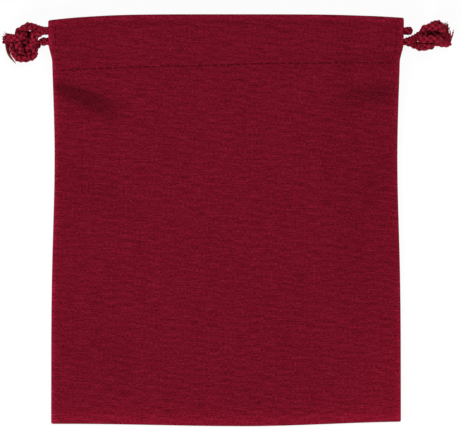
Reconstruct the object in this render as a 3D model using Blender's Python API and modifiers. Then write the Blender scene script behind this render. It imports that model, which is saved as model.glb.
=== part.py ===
"""A small drawstring pouch of crepe cloth, lying empty on its back.

One strip of cloth makes the whole bag. It is folded at the bottom, its side edges are turned in and
seamed, and both of its ends are folded in and stitched down as channels for the cords. Two braided
cords run through both channels from opposite sides, and each is knotted where its ends come out.

Lengths are in metres. X runs across the pouch, Y from the bottom fold to the mouth, Z up.
"""

import math

import bpy
import numpy as np

# Driving sizes of the bag
HALF_WIDTH = 0.0602  # centre line to side seam at the bottom corners
HEIGHT = 0.1415  # bottom fold to mouth at the centre line
CLOTH = 0.0005  # one ply
CHANNEL_DEPTH = 0.0163  # mouth to the channel's stitch line
HEM_TURN = 0.0018  # cloth below the stitch line inside the bag
ALLOWANCE = 0.0065  # turned in along each side
MOUTH_OPEN = 0.0048  # clear gap at the middle of the mouth
MOUTH_FLAT = 0.032  # half width over which the mouth stays that far open
FOLD_RADIUS = 0.0011  # middle of the cloth where it turns over at the mouth and the bottom
END_RADIUS = 0.0019  # the same at the channel's ends, which the cords hold round
FALL_AT_MIDDLE = 0.044  # below the channel, where the front comes down on to the back
FALL_AT_SIDES = 0.014
BODY_PUFF = 0.0030  # how far the front rests above the back near the bottom

# Driving sizes of the cords
CORD = 0.0024  # braided cord
CORD_PITCH = 0.0037  # between the two cords that share a channel
CORD_TOP = 0.0055  # mouth to the nearer cord's middle
KNOT_SPACING = 1.14  # between strands of a knot, in squeezed cord sizes
CHANNEL_STOPS = 25  # places along a channel that its cord passes through
BEND_SLACK = 0.0003  # a bend's play past the channel's end
# Each knot: its middle, degrees that it is turned about its strands and that its tails swing down,
# share of its size that the braid keeps in it, and how far the ends of the two tails lean in X and Y
KNOT_LEFT = ((-0.0691, 0.0603, 0.0057), 45, 24, 0.76, ((-0.0010, 0.0012), (-0.0008, -0.0006)))
KNOT_RIGHT = ((0.0705, 0.0632, 0.0071), 255, -14, 0.74, ((0.0010, 0.0010), (0.0008, -0.0004)))
TAIL_POINTS = 3  # of a strand, that lean

# Clearances
PLY_GAP = 0.00013  # between plies that lie on each other
CORD_GAP = 0.00025  # around a cord inside its channel
SEAT_GAP = 0.0004  # between a cord's bend and the channel's end
SEAM_BULK = 1.25  # four plies stitched together stand this much higher than four laid flat

# Outline, as it lies: the mouth's corners drop, the sides draw in, the channel's ends flare
MOUTH_DROP_LEFT = 0.0020
MOUTH_DROP_RIGHT = 0.0011
WAIST = 0.0012
WAIST_Y = 0.022  # where the sides draw in most
WAIST_SPREAD = 0.034  # from there to where they draw in a third as much
CHANNEL_FLARE = 0.0010
BOTTOM_RISE = 0.0016

# Soft folds in the front panel: middle X, middle Y, turn in degrees, half length, half width, height
SOFT_FOLDS = (
    (-0.0475, 0.0415, -20, 0.0150, 0.0045, -0.0009),
    (0.0505, 0.0445, 4, 0.0130, 0.0040, -0.0008),
    (0.0540, 0.0140, -12, 0.0120, 0.0060, -0.0006),
    (-0.0200, -0.0200, 62, 0.0420, 0.0160, 0.0005),
)

PLY = CLOTH + PLY_GAP
TOP_Y = HEIGHT / 2
STITCH_Y = TOP_Y - CHANNEL_DEPTH
END_FLAT = 0.0010  # past the turned-in cloth, before the plies close up
END_EASE = 0.0095
SLOPE_STEP = 0.0002  # over which a slope is read


def ease(low, high, value):
    """0 below low, 1 above high, smooth between."""
    t = np.clip((value - low) / (high - low), 0, 1)
    return t * t * (3 - 2 * t)


def mix(a, b, share):
    return a + (b - a) * share


def clear_scene():
    for obj in list(bpy.data.objects):
        bpy.data.objects.remove(obj, do_unlink=True)


def fabric(name, colour, roughness):
    """A matte cloth colour, given as linear red, green and blue."""
    material = bpy.data.materials.new(name)
    material.use_nodes = True
    shader = material.node_tree.nodes["Principled BSDF"]
    shader.inputs["Base Color"].default_value = (*colour, 1)
    shader.inputs["Roughness"].default_value = roughness
    return material


# The bag's form

def mouth_y(x):
    drop = np.where(x < 0, MOUTH_DROP_LEFT, MOUTH_DROP_RIGHT)
    return TOP_Y - drop * np.abs(x / HALF_WIDTH) ** 4


def stitch_y(x):
    return STITCH_Y + (mouth_y(x) - TOP_Y) * 0.5


def bottom_y(x):
    lift = BOTTOM_RISE * ease(0, HALF_WIDTH, np.abs(x - HALF_WIDTH * 0.1)) * np.where(x > 0, 1, 0.5)
    return -TOP_Y + lift


def side_shift(y):
    """How far a side edge lies out from its place at the bottom corner."""
    waist = -WAIST * np.exp(-(((y - WAIST_Y) / WAIST_SPREAD) ** 2))
    flare = CHANNEL_FLARE * ease(STITCH_Y, STITCH_Y + CHANNEL_DEPTH * 0.4, y)
    return waist + flare


def side_plies(x):
    """1 where the turned-in side allowances lie between the panels, 0 inside of them."""
    inner = HALF_WIDTH - ALLOWANCE - END_FLAT
    return ease(inner - END_EASE, inner, np.abs(x))


def openness(x):
    """1 over the open middle of the mouth, 0 at its corners."""
    return 1 - ease(MOUTH_FLAT, HALF_WIDTH, np.abs(x))


def fold_radius(x):
    return mix(FOLD_RADIUS, END_RADIUS, side_plies(x))


def held_apart(x, y):
    """Hem to outer ply, from the stitch line up to the cords."""
    stitched = PLY * (1 + (3 * SEAM_BULK - 1) * side_plies(x))
    holding = CORD + CLOTH + 2 * CORD_GAP + 2 * PLY * side_plies(x)
    lowest = CORD_TOP + CORD_PITCH + CORD * 0.5
    return mix(stitched, holding, 1 - ease(lowest, CHANNEL_DEPTH, TOP_Y - y))


def tunnel(x, y):
    """Hem to outer ply, across the whole channel, middle to middle."""
    near_fold = CORD_TOP - CORD * 0.6
    return mix(2 * fold_radius(x), held_apart(x, y), ease(FOLD_RADIUS, near_fold, mouth_y(x) - y))


def slant(height, x, y):
    """How much farther apart upright, two plies lie that follow this slope in Y."""
    slope = (height(x, y + SLOPE_STEP) - height(x, y - SLOPE_STEP)) / (2 * SLOPE_STEP)
    return np.sqrt(1 + slope**2)


def back_hem_z(x, y):
    return CLOTH / 2 + tunnel(x, y)


def back_hem_top(x, y):
    """The back hem's level without its dip towards the mouth, which the front one spans."""
    return CLOTH / 2 + held_apart(x, y)


def front_hem_z(x, y):
    """The front hem lies on the back one at the corners, and spans flat over it where the mouth is open."""
    fullest = CLOTH / 2 + CORD + CLOTH + 2 * CORD_GAP
    laid = back_hem_top(x, y) + PLY * slant(back_hem_top, x, y)
    return laid + openness(x) * (MOUTH_OPEN + fullest - back_hem_top(x, y))


def front_channel_z(x, y):
    """Middle of the front's outer ply over the channel."""
    level = front_hem_z(x, y) + tunnel(x, y)
    steeper = slant(lambda a, b: front_hem_z(a, b) + tunnel(a, b), x, y) - 1
    return level + steeper * PLY


def soft_folds(x, y):
    height = 0 * x
    for fold_x, fold_y, turn, length, width, tall in SOFT_FOLDS:
        c, s = math.cos(math.radians(turn)), math.sin(math.radians(turn))
        along = (x - fold_x) * c + (y - fold_y) * s
        across = (y - fold_y) * c - (x - fold_x) * s
        height = height + tall * np.exp(-((along / length) ** 2) - (across / width) ** 2)
    return height


def front_panel_z(x, y):
    """The front falls from the channel on to the back panel, and keeps a little air in it."""
    top = stitch_y(x) - HEM_TURN
    channel = front_channel_z(x, top)
    closed = CLOTH / 2 + PLY * 3 * side_plies(x)
    puffed = CLOTH / 2 + PLY + BODY_PUFF * np.cos(0.5 * math.pi * np.abs(x) / HALF_WIDTH) ** 0.7
    rest = np.maximum(closed, puffed)
    bottom = CLOTH / 2 + 2 * FOLD_RADIUS
    down = np.clip((top - y) / (top - bottom_y(x)), 0, 1)
    fall_length = mix(FALL_AT_SIDES, FALL_AT_MIDDLE, openness(x))
    fall = np.exp(-((down * (top - bottom_y(x)) / fall_length) ** 1.5))
    body = mix(rest, channel, fall) + soft_folds(x, y) * ease(0.02, 0.10, down) * openness(x * 0.9)
    return mix(body, bottom, ease(0.86, 1.0, down))


def front_z(x, y):
    """Middle of the front's outer ply, in the channel and below it."""
    return np.where(y > stitch_y(x) - HEM_TURN, front_channel_z(x, y), front_panel_z(x, y))


def turned(centre_y, centre_z, radius, start):
    """Half a circle at a fold, running the way that the cloth does."""
    angles = [start + math.pi * k / (FOLD_STEPS + 1) for k in range(1, FOLD_STEPS + 1)]
    return [(centre_y + radius * math.cos(a), centre_z + radius * math.sin(a)) for a in angles]


BODY_ROWS = (0.04, 0.09, 0.15, 0.22, 0.30, 0.39, 0.50, 0.62, 0.74, 0.85, 0.94)
BACK_ROWS = (0.94, 0.50, 0.04)
FOLD_STEPS = 4


def channel_rows(x, fold_y):
    """Rows across a channel, closer where it rises from the stitch line and where it closes at the mouth."""
    stitch = stitch_y(x)
    lower, upper = TOP_Y - CORD_TOP - CORD_PITCH - CORD * 0.5, mouth_y(x) - CORD_TOP + CORD * 0.6
    rise = [mix(stitch, lower, share) for share in (0, 0.3, 0.65, 1)]
    return [stitch - HEM_TURN, *rise, (lower + upper) / 2, upper, (upper + fold_y) / 2, fold_y]


def strip_profile(x):
    """The strip's middle at one X, as (y, z): front hem, front, bottom fold, back, back hem."""
    x = np.float64(x)
    radius = fold_radius(x)
    fold_y = mouth_y(x) - radius - CLOTH / 2
    base_y = bottom_y(x) + FOLD_RADIUS + CLOTH / 2
    hem_end = stitch_y(x) - HEM_TURN
    channel = channel_rows(x, fold_y)
    body = [mix(hem_end, base_y, share) for share in BODY_ROWS] + [base_y]
    back = [base_y] + [mix(hem_end, base_y, share) for share in BACK_ROWS]
    points = [(y, front_hem_z(x, y)) for y in channel]
    points += turned(fold_y, front_hem_z(x, fold_y) + radius, radius, -math.pi / 2)
    points += [(y, front_z(x, y)) for y in reversed(channel)]
    points += [(y, front_z(x, y)) for y in body]
    points += turned(base_y, CLOTH / 2 + FOLD_RADIUS, FOLD_RADIUS, math.pi / 2)
    points += [(y, CLOTH / 2) for y in back]
    points += [(y, CLOTH / 2) for y in channel]
    points += turned(fold_y, CLOTH / 2 + radius, radius, -math.pi / 2)
    points += [(y, back_hem_z(x, y)) for y in reversed(channel)]
    return np.array(points)


def inward(profile):
    """Directions to the strip's wrong side, which lies to the left of its run, as long as a mitre needs."""
    run = np.diff(profile, axis=0)
    run /= np.linalg.norm(run, axis=1)[:, None]
    left = np.stack([-run[:, 1], run[:, 0]], axis=1)
    before, after = np.vstack([left[:1], left]), np.vstack([left, left[-1:]])
    return (before + after) / (1 + (before * after).sum(axis=1))[:, None]


def strip_columns():
    """(x, distance to the wrong side) across the strip, from one turned-in edge to the other."""
    radius = PLY / 2
    edge = HALF_WIDTH - radius - CLOTH / 2
    turn_steps = (0, 36, 72, 108, 144, 180)
    half = [(edge - ALLOWANCE * share, PLY) for share in (1.0, 0.5, 0.12)]
    for angle in reversed(turn_steps):
        a = math.radians(angle)
        half.append((edge + radius * math.sin(a), radius * (1 - math.cos(a))))
    panel = (0.97, 0.925, 0.88, 0.835, 0.785, 0.73, 0.67, 0.60, 0.52, 0.40, 0.20)
    half += [(edge * share, 0.0) for share in panel]
    return [(-x, d) for x, d in half] + [(0.0, 0.0)] + list(reversed(half))


def pouch_cloth(collection, material):
    """The strip as a lofted sheet, given its thickness by a Solidify."""
    columns = strip_columns()
    points = []
    for x, depth in columns:
        profile = strip_profile(x)
        placed = profile + inward(profile) * depth
        side = 1 if x > 0 else -1
        for y, z in placed:
            share = (abs(x) / HALF_WIDTH) ** 2
            points.append((x + side * side_shift(y) * share, y, z))
    rows = len(points) // len(columns)
    faces = [
        (c * rows + r, c * rows + r + 1, (c + 1) * rows + r + 1, (c + 1) * rows + r)
        for c in range(len(columns) - 1)
        for r in range(rows - 1)
    ]
    mesh = bpy.data.meshes.new("pouch_cloth")
    mesh.from_pydata(points, [], faces)
    mesh.materials.append(material)
    mesh.shade_smooth()
    obj = bpy.data.objects.new("pouch_cloth", mesh)
    collection.objects.link(obj)
    thick = obj.modifiers.new("Cloth", "SOLIDIFY")
    thick.thickness = CLOTH
    thick.offset = 0
    thick.use_even_offset = True
    return obj


# The cords

KNOT_POINTS = 40  # along each strand of a knot
KNOT_LEAD = 4.0  # straight cord beyond a knot's ring, in squeezed cord sizes
KNOT_PULLS = 260
KNOT_BESIDE = 1.8  # along a strand, in squeezed cord sizes, within which its points don't push each other


def evenly(points, count):
    """The same line with its points the same distance apart."""
    steps = np.linalg.norm(np.diff(points, axis=0), axis=1)
    run = np.concatenate([[0], np.cumsum(steps)])
    at = np.linspace(0, run[-1], count)
    return np.stack([np.interp(at, run, points[:, k]) for k in range(3)], axis=1)


def loose_knot():
    """Two strands side by side in a loose overhand knot, its ends along Y, in squeezed cord sizes."""
    ring, wave, rise, cut = 2.6, 1.0, 1.24, 0.12
    strands = []
    for side in (-1, 1):
        t = np.linspace(cut, 2 * math.pi - cut, 160)
        phase = 3 * t + side * math.pi / 4
        out = ring + wave * np.cos(phase)
        line = np.stack([out * np.cos(2 * t), out * np.sin(2 * t), rise * np.sin(phase)], axis=1)
        lead = np.array([0, KNOT_LEAD, 0])
        strands.append(evenly(np.vstack([line[0] - lead, line, line[-1] + lead]), KNOT_POINTS))
    return strands


def tied_knot():
    """The loose knot drawn tight: each strand is shortened by turns, and strands push each other off."""
    strands = np.array(loose_knot())
    ends = strands[:, [0, -1]].copy()
    strand = np.repeat([0, 1], KNOT_POINTS)
    place = np.tile(np.arange(KNOT_POINTS), 2)
    for pull in range(KNOT_PULLS):
        share = 0.5 * (1 - pull / KNOT_PULLS) + 0.03
        for line in strands:
            line[1:-1] += share * ((line[:-2] + line[2:]) / 2 - line[1:-1])
            line[:] = evenly(line, KNOT_POINTS)
        spacing = np.linalg.norm(np.diff(strands, axis=1), axis=2).mean()
        beside = np.abs(place[:, None] - place[None]) * spacing < KNOT_BESIDE
        joined = (strand[:, None] == strand[None]) & beside
        for _ in range(6):
            points = strands.reshape(-1, 3)
            apart = points[:, None] - points[None]
            distance = np.linalg.norm(apart, axis=2) + np.eye(len(points))
            crowding = np.where(joined, 0, np.maximum(KNOT_SPACING - distance, 0))
            touching = np.maximum((crowding > 0).sum(axis=1), 1)
            push = (apart * (crowding / distance)[..., None]).sum(axis=1)
            strands += (push / touching[:, None] * 0.65).reshape(strands.shape)
            strands[:, [0, -1]] = ends
    return strands


def smooth_line(points, spacing):
    """A smooth curve through the points, with a point about every spacing."""
    padded = np.vstack([2 * points[0] - points[1], points, 2 * points[-1] - points[-2]])
    line = []
    for a, b, c, d in zip(padded, padded[1:], padded[2:], padded[3:]):
        count = max(1, round(float(np.linalg.norm(c - b)) / spacing))
        for k in range(count):
            t = k / count
            bend = (2 * a - 5 * b + 4 * c - d) * t**2 + (3 * b - a - 3 * c + d) * t**3
            line.append(b + ((c - a) * t + bend) / 2)
    line.append(points[-1])
    return np.array(line)


def channel_end():
    return HALF_WIDTH + side_shift(TOP_Y - CORD_TOP)


def front_cord_z(x, y):
    return (front_hem_z(x, y) + front_channel_z(x, y)) / 2


def back_cord_z(x, y):
    return (CLOTH / 2 + back_hem_z(x, y)) / 2


def through_channel(side, y, level):
    """Along one channel, from the knot's side to the other."""
    stops = np.linspace(-1, 1, CHANNEL_STOPS) * (HALF_WIDTH - ALLOWANCE * 0.1)
    return [(-side * x, y, float(level(np.float64(side * x), y))) for x in stops]


def far_bend(side, front, back):
    """Round the channels' far ends, clear of the hems between them."""
    reach = SEAT_GAP + CORD / 2 + BEND_SLACK
    middle_z, half = (front[2] + back[2]) / 2, (front[2] - back[2]) / 2
    points = []
    for angle in (30, 60, 90, 120, 150):
        c, s = math.cos(math.radians(angle)), math.sin(math.radians(angle))
        points.append((-side * (channel_end() + reach * s), front[1], middle_z + half * c))
    return points


def drawcord(name, side, lane, knot, collection, material):
    """One cord, from tail to knot, through both channels, and back through the knot to its other tail."""
    middle, turn, swing, squeeze, leans = knot
    c, s = math.cos(math.radians(turn)), math.sin(math.radians(turn))
    swing_c, swing_s = math.cos(math.radians(swing)), math.sin(math.radians(swing))
    placed = []
    for strand in tied_knot()[:, 1:-1] * CORD * squeeze:
        along = strand[:, 1]
        across, up = strand[:, 0] * c - strand[:, 2] * s, strand[:, 0] * s + strand[:, 2] * c
        out, rise = along * swing_c + across * swing_s, across * swing_c - along * swing_s
        placed.append(np.stack([middle[0] + side * out, middle[1] + rise, middle[2] + up], axis=1))
    upper, lower = sorted(placed, key=lambda strand: -strand[0][2])
    bent = np.linspace(0, 1, TAIL_POINTS) ** 2
    for strand, lean in zip((upper, lower), leans):
        strand[-TAIL_POINTS:, :2] += bent[:, None] * np.array(lean)
    front = through_channel(side, lane, front_cord_z)
    back = through_channel(side, lane, back_cord_z)
    out = side * (channel_end() + SEAT_GAP + CORD * 0.3)
    leaving, coming = (out, lane, front[0][2]), (out, lane, back[0][2])
    bend = far_bend(side, front[-1], back[-1])
    run = smooth_line(
        np.array([*upper[1::-1], leaving, *front, *bend, *reversed(back), coming, *lower[:2]]), CORD * 2.6
    )
    line = np.vstack([upper[:1:-1], run, lower[2:]])
    radius = np.ones(len(line))
    radius[: len(upper) - 2] = squeeze
    radius[-(len(lower) - 2):] = squeeze
    curve = bpy.data.curves.new(name, "CURVE")
    curve.dimensions = "3D"
    curve.bevel_depth = CORD / 2
    curve.bevel_resolution = 2
    curve.use_fill_caps = True
    curve.materials.append(material)
    spline = curve.splines.new("POLY")
    spline.points.add(len(line) - 1)
    spline.use_smooth = True
    for point, place, share in zip(spline.points, line, radius):
        point.co = (*place, 1)
        point.radius = share
    obj = bpy.data.objects.new(name, curve)
    collection.objects.link(obj)
    return obj


def main():
    clear_scene()
    collection = bpy.data.collections.new("kinchaku_pouch")
    bpy.context.scene.collection.children.link(collection)
    cloth = fabric("crimson_crepe", (0.156, 0.006, 0.017), 0.9)
    braid = fabric("crimson_braid", (0.144, 0.005, 0.013), 0.85)
    pouch_cloth(collection, cloth)
    near_mouth = TOP_Y - CORD_TOP
    drawcord("drawcord_left", -1, near_mouth, KNOT_LEFT, collection, braid)
    drawcord("drawcord_right", 1, near_mouth - CORD_PITCH, KNOT_RIGHT, collection, braid)


main()
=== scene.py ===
"""A drawstring pouch of crimson crepe, lying on a pale table and seen from straight above.

The cloth is one strip, lofted as it is folded and sewn. Two braided cords run through its channels
and are knotted at the sides. Lengths are in metres, in the frame of the solid model.
"""

import math

import bpy
import numpy as np
from bpy.props import FloatProperty, FloatVectorProperty, IntProperty, PointerProperty
from mathutils import Matrix, Vector, noise


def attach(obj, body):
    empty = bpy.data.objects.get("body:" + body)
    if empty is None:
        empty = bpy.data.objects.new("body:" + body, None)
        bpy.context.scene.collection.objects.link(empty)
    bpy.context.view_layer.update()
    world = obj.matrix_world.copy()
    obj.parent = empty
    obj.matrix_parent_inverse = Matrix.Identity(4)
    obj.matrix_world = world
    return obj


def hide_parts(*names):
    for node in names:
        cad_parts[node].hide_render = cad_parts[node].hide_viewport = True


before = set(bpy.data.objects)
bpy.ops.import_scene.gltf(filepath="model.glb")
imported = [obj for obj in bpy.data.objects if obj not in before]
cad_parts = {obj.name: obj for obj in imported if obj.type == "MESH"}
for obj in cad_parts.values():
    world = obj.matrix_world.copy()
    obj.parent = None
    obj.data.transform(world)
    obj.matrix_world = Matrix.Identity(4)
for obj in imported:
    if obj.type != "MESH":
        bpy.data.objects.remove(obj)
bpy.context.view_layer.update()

bl_info = {
    "name": "Crepe drawstring pouch",
    "version": (1, 0, 0),
    "blender": (4, 5, 0),
    "location": "3D View > Sidebar > Pouch",
    "description": "Dresses the solid pouch with crepe cloth, stitching, braided cords and a stage",
    "category": "Object",
}

BODY = "root"


def linear(hex_colour):
    """An sRGB hex colour as linear red, green and blue."""
    channels = [int(hex_colour[k:k + 2], 16) / 255 for k in (0, 2, 4)]
    return tuple(c / 12.92 if c <= 0.04045 else ((c + 0.055) / 1.055) ** 2.4 for c in channels)


def length(name, description, default):
    """A size in metres that a user can change."""
    return FloatProperty(
        name=name, description=description, default=default, unit="LENGTH", precision=5
    )


def colour(name, description, hex_colour):
    """A colour that a user can change."""
    return FloatVectorProperty(
        name=name, description=description, default=linear(hex_colour), subtype="COLOR", min=0, max=1
    )


class PouchSizes(bpy.types.PropertyGroup):
    """Sizes of the bag and its cords, as in the solid model."""

    half_width: length("Half width", "Centre line to side seam at the bottom corners", 0.0602)
    height: length("Height", "Bottom fold to mouth", 0.1415)
    cloth: length("Cloth", "Thickness of one ply", 0.0005)
    channel_depth: length("Channel depth", "Mouth to the channel's stitch line", 0.0163)
    hem_turn: length("Hem turn", "Cloth below the stitch line inside the bag", 0.0018)
    allowance: length("Seam allowance", "Cloth turned in along each side", 0.0065)
    mouth_open: length("Mouth gap", "Clear gap at the middle of the mouth", 0.0048)
    mouth_flat: length("Mouth span", "Half width over which the mouth stays open", 0.032)
    fold_radius: length("Fold radius", "Middle of the cloth where it turns over", 0.0011)
    end_radius: length("End radius", "The same at the channel's ends", 0.0019)
    fall_middle: length("Fall, middle", "Length over which the front comes down in the middle", 0.044)
    fall_sides: length("Fall, sides", "The same along the side seams", 0.014)
    puff: length("Puff", "Height of the front above the back near the bottom", 0.0030)
    cord: length("Cord", "Diameter of the braided cord", 0.0024)
    cord_pitch: length("Cord pitch", "Between the two cords in a channel", 0.0037)
    cord_top: length("Cord inset", "Mouth to the nearer cord's middle", 0.0055)


class PouchFinish(bpy.types.PropertyGroup):
    """Colours and fine sizes that the solid model doesn't have."""

    crepe_colour: colour("Crepe", "Middle colour of the cloth", "6b0a1d")
    crepe_shade: colour("Crepe hollows", "Colour between the crepe's ribs", "4c0510")
    crepe_light: colour("Crepe ribs", "Colour on top of the crepe's ribs", "84162f")
    cord_colour: colour("Cord", "Colour of the braid's yarns", "96182f")
    cord_shade: colour("Cord hollows", "Colour between the yarns", "140001")
    thread_colour: colour("Thread", "Colour of the sewing thread", "4e0613")
    thread_shade: colour("Thread hollows", "Colour in the twist of the sewing thread", "38060f")
    fuzz_colour: colour("Fuzz", "Colour that the loose surface fibres catch", "e0304f")
    fray_colour: colour("Fray", "Colour of the frayed tips", "a5714a")
    table_colour: colour("Table", "Colour of the table top", "ffffff")
    rib_pitch: length("Rib pitch", "Between two ribs of the crepe", 0.0007)
    stitch: length("Stitch", "Length of one stitch with its gap", 0.0026)
    thread: length("Thread", "Diameter of the sewing thread", 0.00026)
    wrinkle: length("Wrinkle", "Height of the soft wrinkles", 0.00016)
    carriers: IntProperty(name="Carriers", description="Yarns that run each way round the braid", default=3)
    free_size: FloatProperty(
        name="Free size", description="Braid outside the channels, against its size inside", default=1.2
    )
    braid_lead: length("Braid lead", "Length of one turn of a yarn", 0.0060)


# The outline, as in the solid model
MOUTH_DROP_LEFT, MOUTH_DROP_RIGHT = 0.0020, 0.0011
MOUTH_CURVE = 4  # the higher, the straighter the mouth's middle
WAIST, WAIST_Y, WAIST_SPREAD = 0.0012, 0.022, 0.034
CHANNEL_FLARE = 0.0010
FLARE_RISE = 0.4  # of the channel's depth, over which its sides flare out
BOTTOM_RISE_LEFT, BOTTOM_RISE_RIGHT = 0.0008, 0.0016
BOTTOM_LOWEST = 0.1  # of the half width, from the middle to the right

# Clear gaps between plies, round a cord in its channel, and from a cord's bend to the channel's end
PLY_GAP, CORD_GAP, SEAT_GAP = 0.00013, 0.00025, 0.0004
SEAM_BULK = 1.25  # four plies stitched together stand this much higher than four laid flat
END_FLAT, END_EASE = 0.0010, 0.0095  # past the turned-in cloth, before the plies close up
CORD_ROOM = 0.6  # cord sizes above the upper cord's middle, where the fold starts to close
SLOPE_STEP = 0.0002  # over which a slope is read

# How the front falls from the channel to the bottom fold, with places as shares of the way down
CROWN = 0.7  # the lower, the fuller towards the sides
FALL_CURVE = 1.5  # the higher, the sharper the fall
FOLDS_START, FOLDS_FULL = 0.02, 0.10
FOLDS_TO_SIDE = 0.9  # the lower, the nearer the soft folds go to the sides
BOTTOM_TURN = 0.86  # where the front starts to rise to the bottom fold

# Soft folds in the front panel: middle X, middle Y, turn in degrees, half length, half width, height
SOFT_FOLDS = (
    (-0.0475, 0.0415, -20, 0.0150, 0.0045, -0.0009),
    (0.0505, 0.0445, 4, 0.0130, 0.0040, -0.0008),
    (0.0540, 0.0140, -12, 0.0120, 0.0060, -0.0006),
    (-0.0200, -0.0200, 62, 0.0420, 0.0160, 0.0005),
)

CORD_POINTS = 40  # along each strand of a knot
KNOT_LEAD = 4.0  # straight cord beyond a knot's ring, in squeezed cord sizes
KNOT_PULLS = 260
KNOT_SPACING = 1.14  # between strands of a knot, in squeezed cord sizes
KNOT_BESIDE = 1.8  # along a strand, within which its points don't push each other
CHANNEL_STOPS = 25  # places along a channel that its cord passes through
BEND_SLACK = 0.0003  # a bend's play past the channel's end

# Each knot: side, middle, degrees that it is turned about its strands and that its tails swing down,
# size that its cords are squeezed to, and how far the ends of the two tails lean in X and Y
KNOTS = {
    "left": (-1, (-0.0691, 0.0603, 0.0057), 45, 24, 0.76, ((-0.0010, 0.0012), (-0.0008, -0.0006))),
    "right": (1, (0.0705, 0.0632, 0.0071), 255, -14, 0.74, ((0.0010, 0.0010), (0.0008, -0.0004))),
}
TAIL_POINTS = 3  # of a strand, that lean


def ease(low, high, value):
    """0 below low, 1 above high, smooth between."""
    t = np.clip((value - low) / (high - low), 0, 1)
    return t * t * (3 - 2 * t)


def mix(a, b, share):
    return a + (b - a) * share


def bell(value, middle, spread):
    """1 at the middle, falling off smoothly on both sides."""
    return np.exp(-(((value - middle) / spread) ** 2))


def dents(folds, x, y):
    """Height of oval folds, each with its middle, turn, half length, half width and height."""
    height = 0.0
    for fold_x, fold_y, turn, half_length, half_width, tall in folds:
        c, s = math.cos(math.radians(turn)), math.sin(math.radians(turn))
        along = (x - fold_x) * c + (y - fold_y) * s
        across = (y - fold_y) * c - (x - fold_x) * s
        height = height + tall * np.exp(-((along / half_length) ** 2) - (across / half_width) ** 2)
    return height


class Form:
    """The bag's surfaces as heights over X and Y, worked out as in the solid model."""

    def __init__(self, sizes):
        self.s = sizes
        self.ply = sizes.cloth + PLY_GAP
        self.top = sizes.height / 2
        self.fullest = sizes.cloth / 2 + sizes.cord + sizes.cloth + 2 * CORD_GAP

    def mouth_y(self, x):
        drop = np.where(x < 0, MOUTH_DROP_LEFT, MOUTH_DROP_RIGHT)
        return self.top - drop * np.abs(x / self.s.half_width) ** MOUTH_CURVE

    def stitch_y(self, x):
        return (self.mouth_y(x) + self.top) / 2 - self.s.channel_depth

    def bottom_y(self, x):
        half = self.s.half_width
        rise = np.where(x > 0, BOTTOM_RISE_RIGHT, BOTTOM_RISE_LEFT)
        return -self.top + rise * ease(0, half, np.abs(x - half * BOTTOM_LOWEST))

    def side_shift(self, y):
        """How far the sides stand out at a height, or in where they have a waist."""
        low = self.top - self.s.channel_depth
        waist = -WAIST * bell(y, WAIST_Y, WAIST_SPREAD)
        return waist + CHANNEL_FLARE * ease(low, low + self.s.channel_depth * FLARE_RISE, y)

    def side_plies(self, x):
        inner = self.s.half_width - self.s.allowance - END_FLAT
        return ease(inner - END_EASE, inner, np.abs(x))

    def openness(self, x):
        return 1 - ease(self.s.mouth_flat, self.s.half_width, np.abs(x))

    def fold_radius(self, x):
        return mix(self.s.fold_radius, self.s.end_radius, self.side_plies(x))

    def held_apart(self, x, y):
        s, sides = self.s, self.side_plies(x)
        stitched = self.ply * (1 + (3 * SEAM_BULK - 1) * sides)
        holding = s.cord + s.cloth + 2 * CORD_GAP + 2 * self.ply * sides
        lowest = s.cord_top + s.cord_pitch + s.cord / 2
        return mix(stitched, holding, 1 - ease(lowest, s.channel_depth, self.top - y))

    def tunnel(self, x, y):
        near = self.s.cord_top - self.s.cord * CORD_ROOM
        closing = ease(self.s.fold_radius, near, self.mouth_y(x) - y)
        return mix(2 * self.fold_radius(x), self.held_apart(x, y), closing)

    def slant(self, height, x, y):
        """How much more height a sloping ply takes up."""
        slope = (height(x, y + SLOPE_STEP) - height(x, y - SLOPE_STEP)) / (2 * SLOPE_STEP)
        return np.sqrt(1 + slope**2)

    def back_hem(self, x, y):
        return self.s.cloth / 2 + self.tunnel(x, y)

    def back_hem_top(self, x, y):
        return self.s.cloth / 2 + self.held_apart(x, y)

    def front_hem(self, x, y):
        laid = self.back_hem_top(x, y) + self.ply * self.slant(self.back_hem_top, x, y)
        return laid + self.openness(x) * (self.s.mouth_open + self.fullest - self.back_hem_top(x, y))

    def front_over_hem(self, x, y):
        return self.front_hem(x, y) + self.tunnel(x, y)

    def front_channel(self, x, y):
        return self.front_over_hem(x, y) + (self.slant(self.front_over_hem, x, y) - 1) * self.ply

    def front_panel(self, x, y):
        s = self.s
        top, bottom = self.stitch_y(x) - s.hem_turn, self.bottom_y(x)
        channel = self.front_channel(x, top)
        closed = s.cloth / 2 + self.ply * 3 * self.side_plies(x)
        crown = np.clip(np.cos(0.5 * math.pi * np.abs(x) / s.half_width), 0, 1) ** CROWN
        rest = np.maximum(closed, s.cloth / 2 + self.ply + s.puff * crown)
        down = np.clip((top - y) / (top - bottom), 0, 1)
        fall_length = mix(s.fall_sides, s.fall_middle, self.openness(x))
        fall = np.exp(-((down * (top - bottom) / fall_length) ** FALL_CURVE))
        folds = dents(SOFT_FOLDS, x, y) * ease(FOLDS_START, FOLDS_FULL, down)
        body = mix(rest, channel, fall) + folds * self.openness(x * FOLDS_TO_SIDE)
        return mix(body, s.cloth / 2 + 2 * s.fold_radius, ease(BOTTOM_TURN, 1, down))

    def front(self, x, y):
        in_channel = y > self.stitch_y(x) - self.s.hem_turn
        return np.where(in_channel, self.front_channel(x, y), self.front_panel(x, y))

    def channel_end(self):
        return self.s.half_width + self.side_shift(self.top - self.s.cord_top)

    def front_cord(self, x, y):
        return (self.front_hem(x, y) + self.front_channel(x, y)) / 2

    def back_cord(self, x, y):
        return (self.s.cloth / 2 + self.back_hem(x, y)) / 2


def settings():
    scene = bpy.context.scene
    return scene.pouch_sizes, scene.pouch_finish


# Materials

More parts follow.
